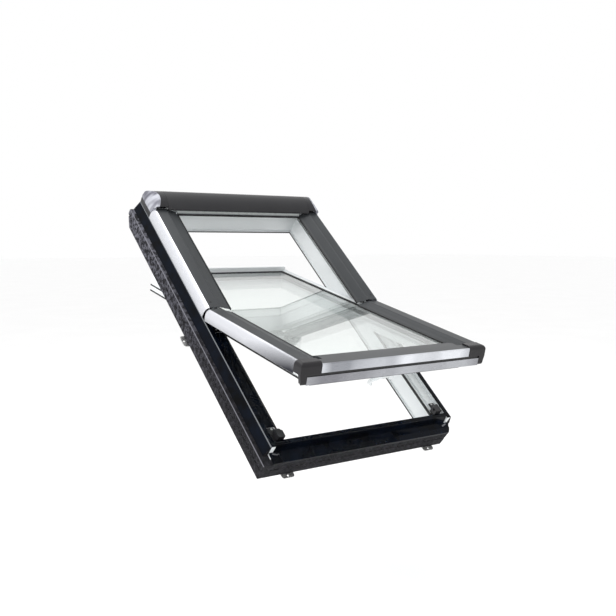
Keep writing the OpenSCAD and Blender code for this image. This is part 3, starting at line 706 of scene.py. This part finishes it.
def make_bow_handle():
    """Crescent bow from one end of the axle to the other, with an eye at each end."""
    high = span("handle_lever", HANDLE)[1]
    eye_x = high.x - 2.8 * MM
    reach = high.y - 5.5 * MM
    arc_r = (eye_x ** 2 + reach ** 2) / (2 * reach)
    arc_y = reach - arc_r
    start = math.atan2(-arc_y, eye_x)
    bpy.ops.object.select_all(action="DESELECT")
    bpy.ops.mesh.primitive_circle_add(vertices=20, radius=1, fill_type="NGON",
                                      location=(eye_x, 0, 0), rotation=(math.radians(90), 0, 0))
    bow = bpy.context.active_object
    bow.name = "handle_lever_made"
    bow.scale = (4.2 * MM, 6.5 * MM, 1)
    bow.rotation_euler = (math.radians(90), 0, start)
    bpy.ops.object.transform_apply(location=True, rotation=True, scale=True)
    bpy.ops.object.mode_set(mode="EDIT")
    bpy.ops.mesh.select_all(action="SELECT")
    bpy.ops.mesh.spin(steps=40, angle=math.pi - 2 * start, center=(0, arc_y, 0), axis=(0, 0, 1))
    bpy.ops.mesh.select_all(action="SELECT")
    bpy.ops.mesh.remove_doubles(threshold=0.00001)
    bpy.ops.mesh.normals_make_consistent(inside=False)
    bpy.ops.object.mode_set(mode="OBJECT")
    eyes = []
    for side in (-1, 1):
        bpy.ops.object.select_all(action="DESELECT")
        bpy.ops.mesh.primitive_cylinder_add(vertices=28, radius=6.2 * MM, depth=5.4 * MM,
                                            location=(side * eye_x, 0, 0),
                                            rotation=(0, math.radians(90), 0))
        eye = bpy.context.active_object
        bpy.ops.object.transform_apply(location=True, rotation=True, scale=True)
        push_faces(eye, lambda c, n: n.x * side > 0.9, 2.4 * MM, (-side * 1.2 * MM, 0, 0))
        break_edges(eye, 0.5)
        apply_modifiers(eye)
        eyes.append(eye)
    bow = joined([bow] + eyes, "handle_lever_made")
    level_shading(bow)
    settle(bow, HANDLE, PLASTIC, NODE_SLOT["handle_lever"], NODE_BODY["handle_lever"])
    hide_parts("handle_lever")


def model_lattice(name, length, height, pitch):
    """Raised diamond lattice: slanting ribs in both directions, along local X."""
    rows = []
    for turn in (-1, 1):
        rib = add_cube(name, (height * 1.35, 2.6 * MM, 3.2 * MM))
        bpy.ops.object.mode_set(mode="EDIT")
        bpy.ops.mesh.select_all(action="SELECT")
        bpy.ops.transform.rotate(value=math.radians(45) * turn, orient_axis="Y",
                                 center_override=(0, 0, 0))
        bpy.ops.object.mode_set(mode="OBJECT")
        break_edges(rib, 0.9, 1)
        add_modifier(rib, "ARRAY", count=int(length / pitch), use_relative_offset=False,
                     use_constant_offset=True, constant_offset_displace=(pitch, 0, 0))
        apply_modifiers(rib)
        rows.append(rib)
    return joined(rows, name)


def make_foam_relief():
    """Diamond relief moulded into the outside of the foam collar."""
    low, high = span("insulation_left", ROOF)
    height, pitch = 50 * MM, 17 * MM
    level = low.z + 31 * MM
    ends = {"left": (low.y + 34 * MM, high.y - 74 * MM), "right": (low.y + 110 * MM, high.y - 74 * MM)}
    for side, word in ((-1, "left"), (1, "right")):
        start, end = ends[word]
        lattice = model_lattice(f"foam_relief_{word}", end - start, height, pitch)
        turn = (Matrix.Translation((side * (-low.x - 0.4 * MM), start, level))
                @ Matrix.Rotation(math.pi / 2, 4, "Z"))
        settle(lattice, ROOF @ turn, FOAM, "foam", "frame")
    foot_low, foot_high = span("insulation_bottom", ROOF)
    half_length = foot_high.x - 36 * MM
    lattice = model_lattice("foam_relief_foot", 2 * half_length, height, pitch)
    turn = Matrix.Translation((-half_length + 6 * MM, foot_low.y + 0.6 * MM, level - 1 * MM))
    settle(lattice, ROOF @ turn, FOAM, "foam", "frame")


def make_room_gasket():
    """Black gasket round the room side of the glass, inside the sash."""
    low, high = span("sash_frame", SASH)
    glass_low = span("inner_pane", SASH)[0]
    stile, foot, head = 38 * MM, 46 * MM, 50 * MM
    size = (2 * (high.x - stile), high.y - low.y - foot - head)
    middle_y = (low.y + foot + high.y - head) / 2
    bpy.ops.object.select_all(action="DESELECT")
    bpy.ops.mesh.primitive_plane_add(size=1, location=(0, middle_y, glass_low.z - 0.2 * MM))
    gasket = bpy.context.active_object
    gasket.name = "room_gasket"
    gasket.scale = (size[0] - 0.2 * MM, size[1] - 0.2 * MM, 1)
    bpy.ops.object.transform_apply(location=True, rotation=True, scale=True)
    bpy.ops.object.mode_set(mode="EDIT")
    bpy.ops.mesh.select_all(action="SELECT")
    bpy.ops.mesh.inset(thickness=4 * MM)
    bpy.ops.mesh.delete(type="FACE")
    bpy.ops.object.mode_set(mode="OBJECT")
    add_modifier(gasket, "SOLIDIFY", thickness=2.6 * MM, offset=-1)
    break_edges(gasket, 0.7)
    apply_modifiers(gasket)
    level_shading(gasket)
    settle(gasket, SASH, RUBBER, "rubber", "sash")


def make_sill_clips():
    """Bright spring clips at both ends of the sill: a folded leaf with a turned-up tongue."""
    low, high = span("sill_cladding", ROOF)
    for side, word in ((-1, "left"), (1, "right")):
        leaf = add_cube(f"sill_clip_{word}", (15 * MM, 5 * MM, 1.2 * MM))
        push_faces(leaf, lambda c, n: n.x * side < -0.9, 0.3 * MM, (-side * 4 * MM, 0, 3.5 * MM))
        push_faces(leaf, lambda c, n: n.x * side < -0.6 and n.z > -0.5 and abs(n.y) < 0.5,
                   0.1 * MM, (-side * 4 * MM, 0, -3 * MM))
        break_edges(leaf, 0.3)
        apply_modifiers(leaf)
        level_shading(leaf)
        lean = Matrix.Rotation(math.radians(18 * side), 4, "Z")
        place = Matrix.Translation((side * (high.x - 16 * MM), low.y + 30 * MM, low.z + 11.8 * MM))
        settle(leaf, ROOF @ place @ lean, BRIGHT, "bright_metal", "frame")


def make_rebate_rail():
    """Black strip with two ribs, lying in the rebate of the left stile and darkening it."""
    plate_low, plate_high = span("hinge_plate_left", ROOF)
    keeper_high = span("lock_keeper_left", ROOF)[1]
    seal_low = span("frame_seal", ROOF)[0]
    width = 36 * MM
    start, end = keeper_high.y + 3 * MM, plate_low.y - 3 * MM
    middle = (seal_low.x - 5 * MM - width / 2, (start + end) / 2, plate_low.z + 1.4 * MM)
    rail = add_cube("rebate_rail_left", (width, end - start, 2.8 * MM), middle)
    pick_faces(rail, lambda c, n: n.z > 0.9)
    bpy.ops.mesh.inset(thickness=3 * MM)
    bpy.ops.mesh.extrude_region_move(TRANSFORM_OT_translate={"value": (0, 0, 2 * MM)})
    bpy.ops.mesh.inset(thickness=5 * MM)
    bpy.ops.mesh.extrude_region_move(TRANSFORM_OT_translate={"value": (0, 0, -2 * MM)})
    bpy.ops.object.mode_set(mode="OBJECT")
    break_edges(rail, 0.5)
    apply_modifiers(rail)
    level_shading(rail)
    settle(rail, ROOF, BLACK, "gloss_black", "frame")


make_screws()
make_bow_handle()
make_rebate_rail()
make_foam_relief()
make_room_gasket()
make_sill_clips()

# ---------- floor, light and camera ----------

def make_floor():
    finish = Finish("pale_floor")
    finish.shade(Base_Color=varied(finish, (0.975, 0.975, 0.975), 0.01, 1.5), Roughness=0.9)
    bpy.ops.mesh.primitive_plane_add(size=120, location=(0, 0, cad_box[0][2] - 0.45))
    floor = bpy.context.active_object
    floor.name = "studio_floor"
    paint(floor, finish.material)


def add_softbox(name, place, aim, size, power):
    light = bpy.data.lights.new(name, "AREA")
    light.shape = "RECTANGLE"
    light.size, light.size_y = size
    light.energy = power
    lamp = bpy.data.objects.new(name, light)
    bpy.context.scene.collection.objects.link(lamp)
    lamp.location = place
    lamp.rotation_euler = (Vector(aim) - Vector(place)).to_track_quat("-Z", "Y").to_euler()


def make_studio():
    make_floor()
    add_softbox("sky_softbox", (-0.6, 0.2, 3.2), (0, 0, 0), (3.0, 2.4), 60)
    add_softbox("left_softbox", (-3.0, -0.6, 1.2), (0, 0, 0), (1.6, 2.2), 45)
    world = bpy.data.worlds.new("white_studio")
    world.use_nodes = True
    background = world.node_tree.nodes["Background"]
    background.inputs["Color"].default_value = (1.0, 1.0, 1.0, 1)
    background.inputs["Strength"].default_value = 1.0
    bpy.context.scene.world = world
    bpy.context.scene.view_settings.view_transform = "Standard"


def make_camera():
    """A 50 mm lens to the left in front of the window, a little above its middle."""
    lens = bpy.data.cameras.new("studio_camera")
    lens.lens = 50
    lens.sensor_width = 36
    camera = bpy.data.objects.new("studio_camera", lens)
    bpy.context.scene.collection.objects.link(camera)
    camera.location = (-1.732, -2.524, 0.309)
    camera.rotation_euler = (math.radians(90 - 4.354), 0, math.radians(-36.176))
    bpy.context.scene.camera = camera


make_studio()
make_camera()
